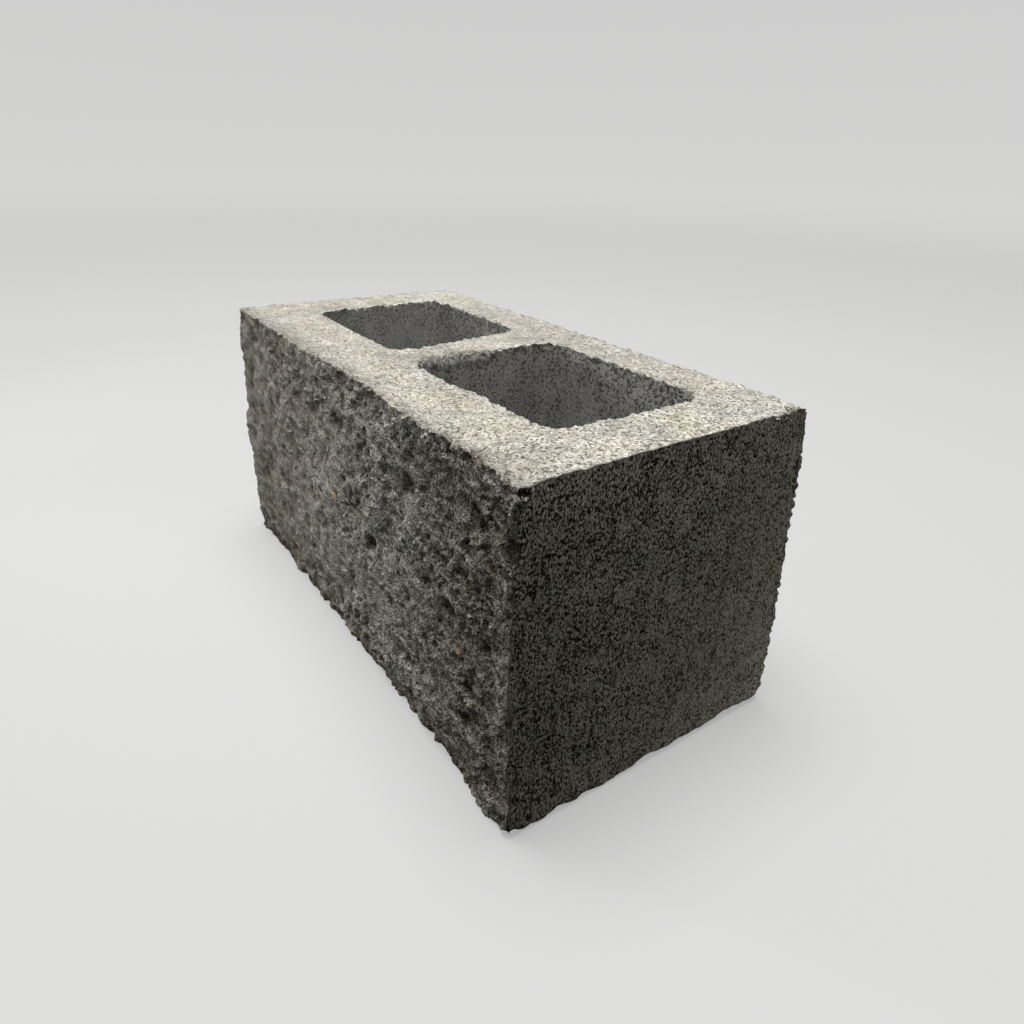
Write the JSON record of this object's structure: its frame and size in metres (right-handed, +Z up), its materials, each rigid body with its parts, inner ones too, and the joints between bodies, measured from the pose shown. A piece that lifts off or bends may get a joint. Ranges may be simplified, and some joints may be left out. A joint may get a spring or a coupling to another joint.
{
  "type": "split-face hollow concrete block",
  "caption": "Two-core hollow concrete block with one rough split face, plain flat ends and flat mortar beds.",
  "frame": {"origin": "centre of the rectangle around the lower bed, on the surface the block stands on", "axes": "+X along the length; -Y out of the rough split face, +Y out of the plain back face; +Z up, out of the upper bed"},
  "size_m": [0.3968, 0.1938, 0.1937],
  "materials": {
    "concrete": "matte"
  },
  "bodies": {
    "root": {"block": "concrete"}
  },
  "joints": []
}
